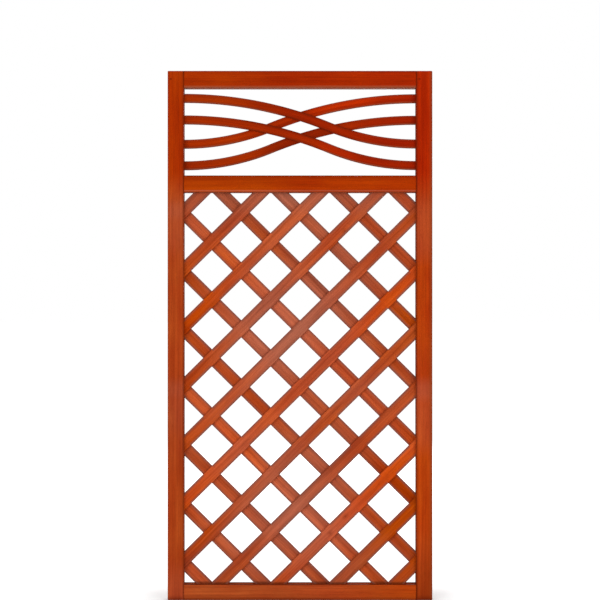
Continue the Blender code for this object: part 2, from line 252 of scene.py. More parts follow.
def axes(tree, vector):
    """The three amounts in a vector, by the names X, Y and Z."""
    split = node(tree, "ShaderNodeSeparateXYZ", None, {0: vector})
    return {name: split.output(name) for name in "XYZ"}


def stretched(tree, vector, scale):
    return node(tree, "ShaderNodeVectorMath", {"operation": "MULTIPLY"}, {0: vector, 1: scale})


def moved(tree, vector, offset):
    return node(tree, "ShaderNodeVectorMath", {"operation": "ADD"}, {0: vector, 1: offset})


def noise(tree, vector, scale, detail, roughness=0.5):
    """Noise round 0.5 over a vector in metres; scale is in bumps per metre, one for each way."""
    inputs = {"Vector": stretched(tree, vector, scale), "Scale": 1.0, "Detail": detail,
              "Roughness": roughness}
    return node(tree, "ShaderNodeTexNoise", None, inputs)


def mixed(tree, factor, first, second, blend="MIX"):
    """Mix two colours. Each is a colour signal or linear channels."""
    inputs = {0: factor, 6: first, 7: second}
    return node(tree, "ShaderNodeMix", {"data_type": "RGBA", "blend_type": blend}, inputs, 2)


def shaded(tree, colour, red, green_blue):
    """A colour times one amount in its red and another in its green and blue."""
    amounts = node(tree, "ShaderNodeCombineColor", None, {0: red, 1: green_blue, 2: green_blue})
    return mixed(tree, 1.0, colour, amounts, "MULTIPLY")


def new_material(name):
    material = bpy.data.materials.new(name)
    material.use_nodes = True
    material.node_tree.nodes.clear()
    return material, material.node_tree


def close_material(tree, colour, roughness, relief, fixed):
    """Add the surface shader. relief is the Bump node's sockets; fixed are those the same all over."""
    bump = node(tree, "ShaderNodeBump", None, relief)
    inputs = {"Base Color": colour, "Roughness": roughness, "Normal": bump, **fixed}
    shader = node(tree, "ShaderNodeBsdfPrincipled", None, inputs)
    node(tree, "ShaderNodeOutputMaterial", None, {"Surface": shader})


# Stained timber and zinc

# Patterns: bumps per metre along, through and across the grain, then detail and roughness
WANDER = ((2.2, 9, 9), 2)
BANDS = ((0.8, 60, 60), 3, 0.6)
STREAKS = ((3.0, 210, 210), 3, 0.6)
FIBRES = ((16, 900, 900), 2)
PORES = ((34, 1500, 1500), 1)
BLOTCHES = ((4.5, 13, 13), 2, 0.55)
SHEEN_PATCHES = ((2.6, 5, 5), 1)
SPANGLE = ((900, 900, 900), 2)
SCRATCHES = ((250, 4000, 250), 2)
KNOT_CELLS = (13, 17, 17)

# Where patterns start and are whole: noise levels, shares of a cell, and metres for the pin knot
PORE = (0.62, 0.72)
BRIGHT_SPANGLE = (0.35, 0.65)
KNOT_CHANCE = (0.93, 0.94)
KNOT = (0.09, 0.03)
KNOT_RING = (0.22, 0.09)
PIN_KNOT = (0.0055, 0.0015)

# How far the grain wanders, and steps that give each piece and its painted sheen a part of their own
WANDER_DEPTH = 0.009
WANDER_WIDTH = 0.016
SEED_STEPS = (3.7, 0.83, 1.31)
SHEEN_PATCH_STEPS = (7.1, 2.3, 5.9)

# Strips along an edge: how far in from it they start, and where they are whole
SIDE_STRIP = (0.0004, 0.0)
RIM_STRIP = (0.0020, 0.0008)
GLINT_INNER = (0.0085, 0.0065)
GLINT_OUTER = (0.0025, 0.0045)
END_STRIP = (0.0016, 0.0002)
FOOT_STRIP = (0.023, -0.006)
EDGE_BAND_WHOLE = 0.0015
CROSSING_BLUR = 0.003

# How far the streaks shift the strips, how dark the stain gathered on the ends is, and how dark the painted
# shade by the ground is
RAGGED = 0.0008
FOOT_RAGGED = 0.0032
EDGE_BAND_RAGGED = 0.006
END_DARK = 0.7
FOOT_SHADE = 0.9


@dataclass
class Grain:
    """Where the wood of one piece lies: its half sizes, its middle and its turn about Y.

    The grain runs along the local X, and local Z crosses the face. Without a middle, the piece has
    an attribute that holds these coordinates.
    """
    half_run: float
    half_face: float
    middle: Vector = None
    turn: float = 0.0

    def vector(self, tree):
        if self.middle is None:
            return node(tree, "ShaderNodeAttribute", {"attribute_name": GRAIN_RUN}, output="Vector")
        inputs = {"Vector": place(tree), "Location": self.middle, "Rotation": (0, self.turn, 0)}
        return node(tree, "ShaderNodeMapping", {"vector_type": "TEXTURE"}, inputs)


@dataclass
class Spot:
    """An amount round a centre on the X or Z axis or the grain's run.

    It is whole up to one distance from the centre and gone from another on. With a pitch it comes
    back at that distance.
    """
    axis: str
    centre: float
    whole: float
    gone: float
    amount: float = 1.0
    pitch: float = 0.0

    def signal(self, places):
        away = abs(places[self.axis] - self.centre)
        if self.pitch:
            away = away.maths("PINGPONG", away, self.pitch / 2)
        return away.step(self.gone, self.whole) * self.amount


@dataclass
class Stain:
    """The colour of one piece, which may change into a second colour where a spot is whole."""
    colour: tuple
    second: tuple = None
    spot: Spot = None


@dataclass
class Wear:
    """How the stain of one piece has worn and gathered, and where painted sheen, highlights and shade lie on
    it. Pairs are for the lower and the upper long side.
    """
    # Share of painted sheen all over; in the sheen rows, the share for their middle takes its place
    painted_sheen: float = 0.0
    sheen_rows: Spot = None
    sheen_middle: Spot = None
    # How uneven the painted sheen is, and spots of it
    sheen_unevenness: float = 0.0
    sheen_spots: tuple = ()
    # Spots of lighter or darker tone, among them painted shade and painted highlights, and how strong the
    # grain is
    tones: tuple = ()
    contrast: float = 1.3
    # How dark the edges are within line of them, and the side faces: stain gathered there and painted shade
    edges: tuple = (0.5, 0.5)
    line: float = 0.0030
    sides: tuple = (0.3, 0.3)
    # How light a narrow painted highlight inside each edge is
    glints: tuple = (0.0, 0.0)
    # How strong the band colour is within reach of each edge, and whether the side faces show it; on the
    # rails' lower edges it is painted sheen
    edge_band: tuple = (0.0, 0.0)
    edge_band_colour: tuple = None
    reach: float = 0.0105
    edge_band_on_sides: bool = True
    # How strong the rim colour is on the chamfers
    rim: float = 0.0
    # Where other slats cross: no edge band there, and the edges get a painted shadow of their own darkness
    # and width
    crossed: Spot = None
    crossing_shadow: tuple = (0.0, 0.0)
    crossing_shadow_width: float = 0.0030
    # Whether the timber next to the ground gets painted shade
    foot: bool = False


def timber(tree, grain_place, seed, pin):
    """The patterns of one piece's timber: noise round 0.5, and pores, knots and rings from 0 to 1."""
    wood = moved(tree, grain_place, [seed * step for step in SEED_STEPS])

    # The grain wanders across the face along its run
    wander = noise(tree, wood, *WANDER) - 0.5
    shift = node(tree, "ShaderNodeCombineXYZ", None, {1: wander * WANDER_DEPTH, 2: wander * WANDER_WIDTH})
    fibre_place = moved(tree, wood, shift)

    # Knots lie in a few of the cells, longer along the grain
    cells = {"Vector": stretched(tree, wood, KNOT_CELLS), "Scale": 1.0}
    cell = node(tree, "ShaderNodeTexVoronoi", None, cells)
    chance = node(tree, "ShaderNodeSeparateColor", None, {0: cell.output("Color")})
    chosen = chance.step(*KNOT_CHANCE)
    knot = cell.step(*KNOT) * chosen * 0.6
    if pin:
        inputs = {0: grain_place, 1: pin}
        away = node(tree, "ShaderNodeVectorMath", {"operation": "DISTANCE"}, inputs, "Value")
        knot = knot.at_least(away.step(*PIN_KNOT))
    return SimpleNamespace(
        band=noise(tree, fibre_place, *BANDS),
        streak=noise(tree, fibre_place, *STREAKS),
        fibre=noise(tree, fibre_place, *FIBRES),
        pores=noise(tree, fibre_place, *PORES).step(*PORE),
        blotch=noise(tree, wood, *BLOTCHES),
        sheen_noise=noise(tree, moved(tree, wood, SHEEN_PATCH_STEPS), *SHEEN_PATCHES),
        knot=knot,
        ring=cell.step(*KNOT_RING) * chosen,
    )


def face_stain(tree, wood, places, stain, wear):
    """The stain over the whole piece with painted sheen laid on it, and the colour of that painted sheen."""
    colours = bpy.context.scene.fence_colours

    # The stain is deeper and lighter in bands, streaks and blotches
    figure = (wood.band - 0.5) * 0.62 + (wood.streak - 0.5) * 0.42
    figure = figure + (wood.blotch - 0.5) * 0.38 + (wood.fibre - 0.5) * 0.3
    tone = 1 + figure * wear.contrast
    for spot in wear.tones:
        tone = tone * (1 + spot.signal(places))
    warmth = 1 + (wood.band - 0.5) * 0.5 + (wood.blotch - 0.5) * 0.9
    colour = linear(stain.colour)
    second_share = 0.0
    if stain.spot:
        second_share = stain.spot.signal(places)
        colour = mixed(tree, second_share, colour, linear(stain.second))
    base = shaded(tree, colour, tone, tone * warmth)
    sheen_colour = shaded(tree, linear(colours.painted_sheen), tone, tone)

    # Painted sheen in long stretches
    if wear.sheen_unevenness:
        painted_sheen = wear.painted_sheen
        if wear.sheen_rows:
            painted_sheen = painted_sheen + wear.sheen_rows.signal(places) * (wear.sheen_middle.signal(places) - painted_sheen)
        sheen_share = ((wood.sheen_noise - 0.5) + (wood.streak - 0.5) * 0.35) * wear.sheen_unevenness + painted_sheen
        for spot in wear.sheen_spots:
            sheen_share = sheen_share + spot.signal(places)
        base = mixed(tree, sheen_share.at_least(0) * (1 - second_share), base, sheen_colour)
    base = mixed(tree, wood.ring * 0.2, base, linear(colours.pooled_and_shade))
    dots = (wood.pores * 0.4).at_least(wood.knot * 0.7)
    return mixed(tree, dots, base, linear(colours.pore)), sheen_colour


def edge_stain(tree, wood, places, across, grain, wear, base, sheen_colour):
    """Lay bands, stain and painted shade along the edges, and return the colour and how dark it is there.

    The ends take gathered stain; the side faces, the crossings and the timber by the ground take painted
    shade.
    """
    colours = bpy.context.scene.fence_colours
    sway = wood.streak - 0.5
    pooled_and_shade = (grain.half_run - abs(places["run"])).step(*END_STRIP) * END_DARK
    crossed = wear.crossed.signal(places) if wear.crossed else 0.0
    from_lower = grain.half_face + across - sway * RAGGED
    from_upper = grain.half_face - across - sway * RAGGED
    for way, inward in enumerate((from_lower, from_upper)):
        side = inward.step(*SIDE_STRIP)
        # A narrow painted highlight inside the edge
        if wear.glints[way]:
            glint = inward.step(*GLINT_INNER) * inward.step(*GLINT_OUTER)
            base = mixed(tree, glint * wear.glints[way], base, sheen_colour)
        # A band beside the edge: painted sheen on the rails' lower edges, stain with painted shade beside
        # the lattice slats
        if wear.edge_band[way]:
            edge_band = (inward - sway * EDGE_BAND_RAGGED).step(wear.reach, EDGE_BAND_WHOLE) * (1 - crossed)
            if not wear.edge_band_on_sides:
                edge_band = edge_band * (1 - side)
            base = mixed(tree, edge_band * wear.edge_band[way], base, linear(wear.edge_band_colour))
        if wear.rim:
            rim = inward.step(*RIM_STRIP) * (1 - crossed)
            base = mixed(tree, rim * wear.rim, base, linear(colours.rim))
        # Dark lines along the edges and dark side faces, stain and painted shade; where slats cross, a
        # painted shadow
        line = inward.step(wear.line, SIDE_STRIP[0]) * wear.edges[way]
        dark = inward.step(wear.crossing_shadow_width, SIDE_STRIP[0]) * crossed * wear.crossing_shadow[way]
        pooled_and_shade = pooled_and_shade.at_least(line.at_least(dark) * (1 - side) + side * wear.sides[way])
    # Painted shade on the timber next to the ground
    if wear.foot:
        pooled_and_shade = pooled_and_shade.at_least((places["Z"] + sway * FOOT_RAGGED).step(*FOOT_STRIP) * FOOT_SHADE)
    return mixed(tree, pooled_and_shade, base, linear(colours.pooled_and_shade)), pooled_and_shade


def stained_wood(name, grain, stain, seed, wear, pin=None):
    """Stained and varnished softwood: streaks, fibres, pores and knots, with painted sheen and dark edges of
    stain and painted shade.

    pin is the place of one small knot, in the grain's directions.
    """
    material, tree = new_material(name)
    grain_place = grain.vector(tree)
    grain_axes = axes(tree, grain_place)
    places = {**axes(tree, place(tree)), "run": grain_axes["X"]}
    wood = timber(tree, grain_place, seed, pin)
    base, sheen_colour = face_stain(tree, wood, places, stain, wear)
    base, pooled_and_shade = edge_stain(tree, wood, places, grain_axes["Z"], grain, wear, base, sheen_colour)
    roughness = 0.36 + wood.streak * 0.18 + wood.pores * 0.2 + wood.knot * 0.12 + pooled_and_shade * 0.1
    height = wood.fibre * 0.35 + wood.streak * 0.5 + wood.pores * -0.6 + wood.knot * 0.4
    relief = {"Strength": 0.35, "Distance": 0.0002, "Height": height}
    close_material(tree, base, roughness, relief, {"Specular IOR Level": 0.012})
    return material


def zinc_steel(name, seed):
    """Bright zinc with faint spangle and dull scratches."""
    material, tree = new_material(name)
    own_place = moved(tree, place(tree), (seed, seed * 2.1, 0))
    spangle = noise(tree, own_place, *SPANGLE)
    scratch = noise(tree, own_place, *SCRATCHES)
    zinc = bpy.context.scene.fence_colours.zinc
    dull = [channel * 0.72 for channel in zinc]
    base = mixed(tree, spangle.step(*BRIGHT_SPANGLE), linear(dull), linear(zinc))
    relief = {"Strength": 0.3, "Distance": 0.00005, "Height": spangle * 0.5 + scratch * 0.5}
    close_material(tree, base, 0.28 + scratch * 0.22, relief, {"Metallic": 1.0})
    return material


# Meshes and pieces

# What counts as one point, as a crease, as flat and as an edge to round
WELD = 1e-5
WELD_TURNED = 1e-6
SMOOTH_ANGLE = math.radians(35)
FLAT_ANGLE = math.radians(1)
EDGE_ANGLE = math.radians(20)


def whole(face):
    """A face with its edges and corners, so that an extrusion carries it off instead of copying it."""
    return [face, *face.edges, *face.verts]


def face_in(geometry):
    return next(item for item in geometry if isinstance(item, bmesh.types.BMFace))


def extrude_by(bm, geometry, offset):
    """Extrude the geometry by the offset and return the face at its new end."""
    made = bmesh.ops.extrude_face_region(bm, geom=geometry)["geom"]
    verts = [item for item in made if isinstance(item, bmesh.types.BMVert)]
    bmesh.ops.translate(bm, vec=offset, verts=verts)
    return face_in(made)


def spun(bm, face, centre, axis, angle, steps):
    """Spin a face about an axis and return the face at its new end."""
    made = bmesh.ops.spin(bm, geom=whole(face), cent=centre, axis=axis, angle=angle, steps=steps,
                          use_duplicate=False)
    return face_in(made["geom_last"])


def turned(profile, sides):
    """Turn a profile of radii and heights about Z, as on a lathe."""
    bm = bmesh.new()
    corners = [bm.verts.new((radius, 0, height)) for radius, height in profile]
    line = [bm.edges.new(pair) for pair in zip(corners, corners[1:])]
    bmesh.ops.spin(bm, geom=corners + line, cent=(0, 0, 0), axis=(0, 0, 1), angle=2 * math.pi,
                   steps=sides, use_merge=True, use_duplicate=False)
    bmesh.ops.remove_doubles(bm, verts=bm.verts, dist=WELD_TURNED)
    return bm


def nodes_with(words):
    """The names of the CAD nodes that hold these words, in order."""
    return [name for name in sorted(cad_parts) if words in name]


def welded_copy(name):
    """The solid of a CAD node, with its loose triangles joined."""
    bm = bmesh.new()
    bm.from_mesh(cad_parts[name].data)
    bmesh.ops.remove_doubles(bm, verts=bm.verts, dist=WELD)
    return bm


def add_piece(name, bm, material, stands_for=None):
    """Make a bmesh a finished piece of the panel, which may stand for a CAD node."""
    bmesh.ops.recalc_face_normals(bm, faces=bm.faces)
    mesh = bpy.data.meshes.new(name)
    bm.to_mesh(mesh)
    bm.free()
    mesh.shade_smooth()
    mesh.set_sharp_from_angle(angle=SMOOTH_ANGLE)
    mesh.materials.append(material)
    piece = bpy.data.objects.new(name, mesh)
    bpy.context.scene.collection.objects.link(piece)
    weighted = piece.modifiers.new("weighted_normals", "WEIGHTED_NORMAL")
    weighted.keep_sharp = True
    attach(piece, BODY)
    if stands_for:
        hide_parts(stands_for)


def steady_share(number):
    """A steady share from 0 to 1 for a piece's number, far from those of its neighbours."""
    return (number * GOLDEN) % 1.0


def toned(colour, tone):
    """A colour made darker or lighter by a piece's own tone."""
    return [min(1.0, channel * tone) for channel in colour]


# The panel's pieces

# How the slats differ in tone, and from which tone on a slat counts as light
TONE_SPREAD = 0.02
LIGHT_TONE = 1.05

# Screws and brads: sides, shares of the head's radius, and the number of the first screw's own turn
SCREW_SIDES = 24
SCREW_SHANK = 0.53
RECESS_ARM = 0.55
RECESS_HALF = 0.14
RECESS_FOOT = 0.45
FIRST_SCREW_TURN = 87
BRAD_SIDES = 16
BRAD_SHANK = 0.57
BRAD_CROWN = 0.60

# Staples: their wire, and how unevenly they are driven, as a share of a slat's width and as a turn
WIRE_SIDES = 8
WIRE_BEND_STEPS = 3
STAPLE_PLAY = 0.3
STAPLE_TURN = math.radians(24)


class FENCE_OT_stiles(bpy.types.Operator):
    """Make the two stiles, full height, with their grooves and bores"""
    bl_idname = "fence.stiles"
    bl_label = "Stiles"

    def execute(self, context):
        colours = context.scene.fence_colours
        head = Spot("Z", CAD_BOX[1].z, 0.33, 0.455)
        left_stain = Stain(colours.left_stile, colours.left_head, head)
        right_stain = Stain(colours.right_stile, colours.right_head, head)
        # Painted sheen in the spots along the height; painted shade on the darker inner edges and inner side
        # faces and at the foot
        left_wear = Wear(
            sheen_unevenness=0.3, edges=(0.5, 0.24), line=0.009, sides=(0.55, 0.2), foot=True,
            sheen_spots=(Spot("Z", 1.325, 0.005, 0.045, 0.14), Spot("Z", 1.27, 0.03, 0.13, 0.12),
                     Spot("Z", 0.720, 0.005, 0.045, 0.12), Spot("Z", 0.66, 0.03, 0.13, 0.10),
                     Spot("Z", 0.0, 0.05, 0.16, 0.18)),
            tones=(Spot("Z", 0.0, 0.05, 0.20, 0.06),))
        right_wear = Wear(
            sheen_unevenness=0.2, edges=(0.2, 0.62), line=0.0080, sides=(0.2, 0.55), foot=True,
            edge_band=(0.6, 0.0), edge_band_colour=colours.stile_edge, reach=0.014, edge_band_on_sides=False,
            sheen_spots=(Spot("Z", 1.26, 0.05, 0.15, 0.14), Spot("Z", 0.716, 0.006, 0.055, 0.26),
                     Spot("Z", 0.60, 0.04, 0.13, 0.13)),
            # Painted shade, darker towards the ground
            tones=(Spot("Z", 0.0, 0.0, 0.26, -0.3),))
        rows = (("left_stile", LEFT_STILE, left_stain, left_wear),
                ("right_stile", RIGHT_STILE, right_stain, right_wear))
        for seed, (name, (low, high), stain, wear) in enumerate(rows, start=1):
            size = high - low
            # Turned so that the run goes up; local Z then points to -X
            grain = Grain(size.z / 2, size.x / 2, (low + high) / 2, -math.pi / 2)
            pin = (0.872, low.y, 0.0165)
            material = stained_wood(name + "_stain", grain, stain, seed * 1.9, wear, pin)
            add_piece(name + "_timber", welded_copy(name), material, name)
        return {"FINISHED"}


class FENCE_OT_rails(bpy.types.Operator):
    """Make the three rails between the stiles, with their tongues and grooves"""
    bl_idname = "fence.rails"
    bl_label = "Rails"

    def execute(self, context):
        colours = context.scene.fence_colours
        # Painted shade: the bottom rail's dark ledge on its top side and the rails' darker upper edges; on
        # the middle and top rails the lower edge band is painted sheen, and the middle rail's narrow light
        # line is a painted highlight
        bottom_wear = Wear(contrast=1.6, edges=(0.2, 0.8), line=0.0024, sides=(0.5, 0.9), foot=True,
                           tones=(Spot("X", 0.11, 0.02, 0.17, 0.16),))
        middle_wear = Wear(edges=(0.2, 0.7), line=0.0065, sides=(0.0, 0.3), glints=(0.4, 0.0),
                           edge_band=(0.8, 0.0), edge_band_colour=colours.rail_edge_sheen, reach=0.0020)
        top_wear = Wear(edges=(0.0, 0.5), line=0.0065, sides=(0.0, 0.3),
                        edge_band=(0.9, 0.0), edge_band_colour=colours.rail_edge_sheen, reach=0.0100)
        # The last length is how far from the right end the second colour fades out
        rows = (("bottom_rail", BOTTOM_RAIL, bottom_wear, 0.35),
                ("middle_rail", MIDDLE_RAIL, middle_wear, CLEAR_WIDTH),
                ("top_rail", TOP_RAIL, top_wear, CLEAR_WIDTH))
        for seed, (name, (low, high), wear, fade) in enumerate(rows, start=4):
            size = high - low
            grain = Grain(size.x / 2, size.z / 2, (low + high) / 2)
            right_end = Spot("X", CLEAR_RIGHT, 0.0, fade)
            stain = Stain(getattr(colours, name), getattr(colours, name + "_right"), right_end)
            material = stained_wood(name + "_stain", grain, stain, seed * 2.3, wear)
            add_piece(name + "_timber", welded_copy(name), material, name)
        return {"FINISHED"}


def lattice_wear(sizes, middle_sheen):
    """The wear of a lattice slat with its painted sheen and shade; the second argument is its share of
    painted sheen in the middle of the sheen rows.
    """
    half_width = sizes.slat_width / 2
    crossing_pitch = math.hypot(sizes.pitch_x, sizes.pitch_z) / 2
    return Wear(
        # Painted sheen: a share all over, in rows a share that is strongest at the panel's middle, and a
        # spot under the middle rail
        painted_sheen=0.27, sheen_rows=Spot("Z", 0.935, 0.0, 0.306, pitch=0.612),
        sheen_middle=Spot("X", -0.03, 0.0, 0.37, middle_sheen),
        sheen_unevenness=0.8, sheen_spots=(Spot("Z", LATTICE_HEAD, 0.03, 0.09, 0.22),),
        # Painted shade under the middle rail and above the bottom rail, a painted contact shadow at the
        # slats' feet, and a lighter band low down
        tones=(Spot("Z", LATTICE_HEAD, 0.02, 0.14, -0.11), Spot("Z", LATTICE_FOOT, 0.0, 0.12, -0.07),
               Spot("Z", LATTICE_FOOT, 0.003, 0.009, -0.5), Spot("Z", 0.272, 0.02, 0.12, 0.06)),
        contrast=1.75, edges=(0.0, 0.0), sides=(0.0, 0.0), rim=0.9,
        edge_band=(0.85, 0.85), edge_band_colour=bpy.context.scene.fence_colours.edge_band,
        # A painted shadow along the edges where the slats cross
        crossed=Spot("run", 0.0, half_width - CROSSING_BLUR, half_width + CROSSING_BLUR,
                     pitch=crossing_pitch),
        crossing_shadow=(0.5, 0.5))


def add_lattice_layer(layer, lean, colour, first_seed, tones):
    """Make the slats of one layer; lean is 1 where they rise to the right and -1 where they fall.

    tones holds the tone of the slats whose timber is lighter or darker than the others, by number.
    """
    sizes = bpy.context.scene.fence_sizes
    turn = -lean * math.atan2(sizes.pitch_z, sizes.pitch_x)
    for number in range(1, SLATS_EACH_WAY + 1):
        name = f"{layer}_slat_{number:02d}"
        low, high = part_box(name)
        # The slat's centre line crosses the panel's middle at this height
        crossing = LATTICE_CENTRE + sizes.lift + (number - 1 - SLATS_PAST_MIDDLE) * sizes.pitch_z
        grain = Grain(CAD_BOX[1].z, sizes.slat_width / 2, (0, (low.y + high.y) / 2, crossing), turn)
        own_tone = tones.get(number, 1.0)
        tone = own_tone + TONE_SPREAD * (steady_share(number + first_seed) - 0.5)
        wear = lattice_wear(sizes, 0.77 if own_tone > LIGHT_TONE else 0.87)
        material = stained_wood(name + "_stain", grain, Stain(toned(colour, tone)),
                                first_seed + number * 0.77, wear)
        bm = welded_copy(name)
        bmesh.ops.dissolve_limit(bm, angle_limit=FLAT_ANGLE, verts=bm.verts, edges=bm.edges)
        sharp = [edge for edge in bm.edges if edge.calc_face_angle(0) > EDGE_ANGLE]
        bmesh.ops.bevel(bm, geom=sharp, offset=sizes.slat_rounding, offset_type="OFFSET", segments=2,
                        profile=0.5, affect="EDGES", material=-1)
        add_piece(name + "_timber", bm, material, name)


class FENCE_OT_rising_slats(bpy.types.Operator):
    """Make the front slats of the lattice, which rise to the right"""
    bl_idname = "fence.rising_slats"
    bl_label = "Rising slats"

    def execute(self, context):
        tones = {2: 0.94, 3: 1.13, 5: 0.97, 6: 1.12, 9: 1.02}
        add_lattice_layer("rising", 1, context.scene.fence_colours.rising, 20, tones)
        return {"FINISHED"}


class FENCE_OT_falling_slats(bpy.types.Operator):
    """Make the back slats of the lattice, which fall to the right"""
    bl_idname = "fence.falling_slats"
    bl_label = "Falling slats"

    def execute(self, context):
        tones = {1: 1.15, 3: 1.05, 4: 1.13, 6: 0.97, 7: 1.07, 8: 0.95, 9: 0.96, 11: 1.10}
        add_lattice_layer("falling", -1, context.scene.fence_colours.falling, 50, tones)
        return {"FINISHED"}


class SlatCurve:
    """The centre line of a curved slat: a high arc that passes smoothly into a low one.

    It leaves the left stile level at z = 0 and meets the right stile level, lower by the drop.
    """

    def __init__(self, sizes):
        self.start = -CLEAR_WIDTH / 2
        self.drop = sizes.curve_drop
        self.angle = 2 * math.atan(self.drop / CLEAR_WIDTH)
        radii = CLEAR_WIDTH / math.sin(self.angle)
        self.high_radius = radii * sizes.high_arc_share
        self.low_radius = radii - self.high_radius
        self.run = radii * self.angle

    def along_and_across(self, x, z):
        """How far along the line a point lies, and how far above it."""
        if x < self.start:
            return x - self.start, z
        if x > -self.start:
            return self.run + x + self.start, z + self.drop
        past, above = x - self.start, z + self.high_radius
        passed = math.atan2(past, above)
        if passed <= self.angle:
            return self.high_radius * passed, math.hypot(past, above) - self.high_radius
        ahead, below = -self.start - x, self.low_radius - self.drop - z
        left = math.atan2(ahead, below)
        return self.run - self.low_radius * left, self.low_radius - math.hypot(ahead, below)


class FENCE_OT_curved_slats(bpy.types.Operator):
    """Make the four curved slats of the top window"""
    bl_idname = "fence.curved_slats"
    bl_label = "Curved slats"

    def execute(self, context):
        sizes = context.scene.fence_sizes
        colours = context.scene.fence_colours
        curve = SlatCurve(sizes)
        # Name, own tone, the middle of the part that others cross, and spots of tone: painted highlights on
        # the front lower and back upper slats, painted shadow under the crossings on the back lower slat
        rows = (("front_curve_upper", 0.985, 0.06, ()),
                ("front_curve_lower", 1.0, -0.06, (Spot("X", 0.125, 0.03, 0.09, 0.25),)),
                ("back_curve_upper", 1.03, -0.06, (Spot("X", 0.14, 0.08, 0.14, 0.2),)),
                ("back_curve_lower", 0.98, 0.06, (Spot("X", 0.0, 0.07, 0.17, -0.18),)))
        for seed, (name, tone, crossing, tones) in enumerate(rows, start=80):
            low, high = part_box(name)
            behind = name.startswith("back")
            seat = CLEAR_LEFT - low.x
            bm = self.slat(sizes, curve, high.y - low.y, seat)
            self.write_grain(bm, curve)
            centre = (low + high) / 2
            spot = Vector((centre.x, centre.y, high.z - sizes.curve_width / 2))
            turn = Matrix.Rotation(math.pi if behind else 0.0, 3, "Z")
            bmesh.ops.transform(bm, matrix=Matrix.LocRotScale(spot, turn, None), verts=bm.verts)
            grain = Grain(curve.run / 2 + seat, sizes.curve_width / 2)
            # A painted shadow along the edges where the curved slats cross; the edges' dark lines are stain
            # and painted shade
            dark = 0.50 if behind else 0.75
            wear = Wear(edges=(0.42, 0.28), line=0.0120, sides=(0.1, 0.0), rim=0.9, tones=tones,
                        edge_band=(0.95, 0.4), edge_band_colour=colours.curve_edge, reach=0.0065,
                        crossed=Spot("X", crossing, 0.12, 0.16), crossing_shadow=(dark, dark),
                        crossing_shadow_width=0.0085)
            right_end = Spot("X", CLEAR_RIGHT, 0.0, CLEAR_WIDTH)
            stain = Stain(toned(colours.curve, tone), toned(colours.curve_right, tone), right_end)
            material = stained_wood(name + "_stain", grain, stain, seed * 0.61, wear)
            add_piece(name + "_timber", bm, material, name)
        return {"FINISHED"}

    def slat(self, sizes, curve, thickness, seat):
        """Sweep the section along a level end, the two arcs and a level end."""
        half_width = sizes.curve_width / 2
        corners = [(-thickness / 2, -half_width), (thickness / 2, -half_width),
                   (thickness / 2, half_width), (-thickness / 2, half_width)]
        bm = bmesh.new()
        end = bm.faces.new([bm.verts.new((curve.start - seat, y, z)) for y, z in corners])
        bmesh.ops.bevel(bm, geom=end.verts[:], offset=sizes.curve_easing, offset_type="OFFSET",
                        segments=3, profile=0.5, affect="VERTICES", material=-1)
        end = extrude_by(bm, bm.faces[:], (seat, 0, 0))
        arcs = (((curve.start, 0, -curve.high_radius), curve.high_radius, curve.angle),
                ((-curve.start, 0, curve.low_radius - curve.drop), curve.low_radius, -curve.angle))
        for centre, radius, angle in arcs:
            steps = math.ceil(radius * curve.angle / sizes.curve_step)
            end = spun(bm, end, centre, (0, 1, 0), angle, steps)
        extrude_by(bm, whole(end), (seat, 0, 0))
        return bm

    def write_grain(self, bm, curve):
        """Store how far along the slat, through it and across its face each point lies."""
        layer = bm.verts.layers.float_vector.new(GRAIN_RUN)
        for vert in bm.verts:
            along, across = curve.along_and_across(vert.co.x, vert.co.z)
            vert[layer] = (along - curve.run / 2, vert.co.y, across)


class FENCE_OT_screws(bpy.types.Operator):
    """Make the countersunk screws in the outer edges of the stiles"""
    bl_idname = "fence.screws"
    bl_label = "Screws"

    def execute(self, context):
        material = zinc_steel("screw_zinc", 0.0)
        for number, name in enumerate(nodes_with("_screw_"), start=FIRST_SCREW_TURN):
            low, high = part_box(name)
            bm = self.screw(context.scene.fence_sizes, (high.z - low.z) / 2, high.x - low.x)
            side = -1 if "left" in name else 1
            head = Vector((low.x if side < 0 else high.x, (low.y + high.y) / 2, (low.z + high.z) / 2))
            spin = Matrix.Rotation(steady_share(number) * math.pi, 4, "Z")
            aim = Matrix.Translation(head) @ Matrix.Rotation(side * math.pi / 2, 4, "Y") @ spin
            bmesh.ops.transform(bm, matrix=aim, verts=bm.verts)
            add_piece(name + "_steel", bm, material, name)
        return {"FINISHED"}

    def screw(self, sizes, radius, reach):
        """A countersunk screw with a cross recess; its head is at z = 0 and it points down."""
        shank = radius * SCREW_SHANK
        bm = turned(((radius, 0), (radius, -sizes.screw_edge), (shank, -sizes.screw_head),
                     (shank, sizes.screw_point - reach), (0, -reach)), SCREW_SIDES)
        arm = radius * RECESS_ARM
        half = radius * RECESS_HALF
        corners = []
        for quarter in range(4):
            spin = Matrix.Rotation(quarter * math.pi / 2, 2)
            corners += [spin @ Vector(point) for point in ((arm, -half), (arm, half), (half, half))]
        recess = bm.faces.new([bm.verts.new((x, y, 0)) for x, y in corners])
        bottom = extrude_by(bm, whole(recess), (0, 0, -sizes.screw_recess))
        bmesh.ops.scale(bm, vec=(RECESS_FOOT, RECESS_FOOT, 1), verts=bottom.verts)
        open_edges = [edge for edge in bm.edges if edge.is_boundary]
        bmesh.ops.triangle_fill(bm, use_beauty=True, use_dissolve=False, edges=open_edges)
        return bm


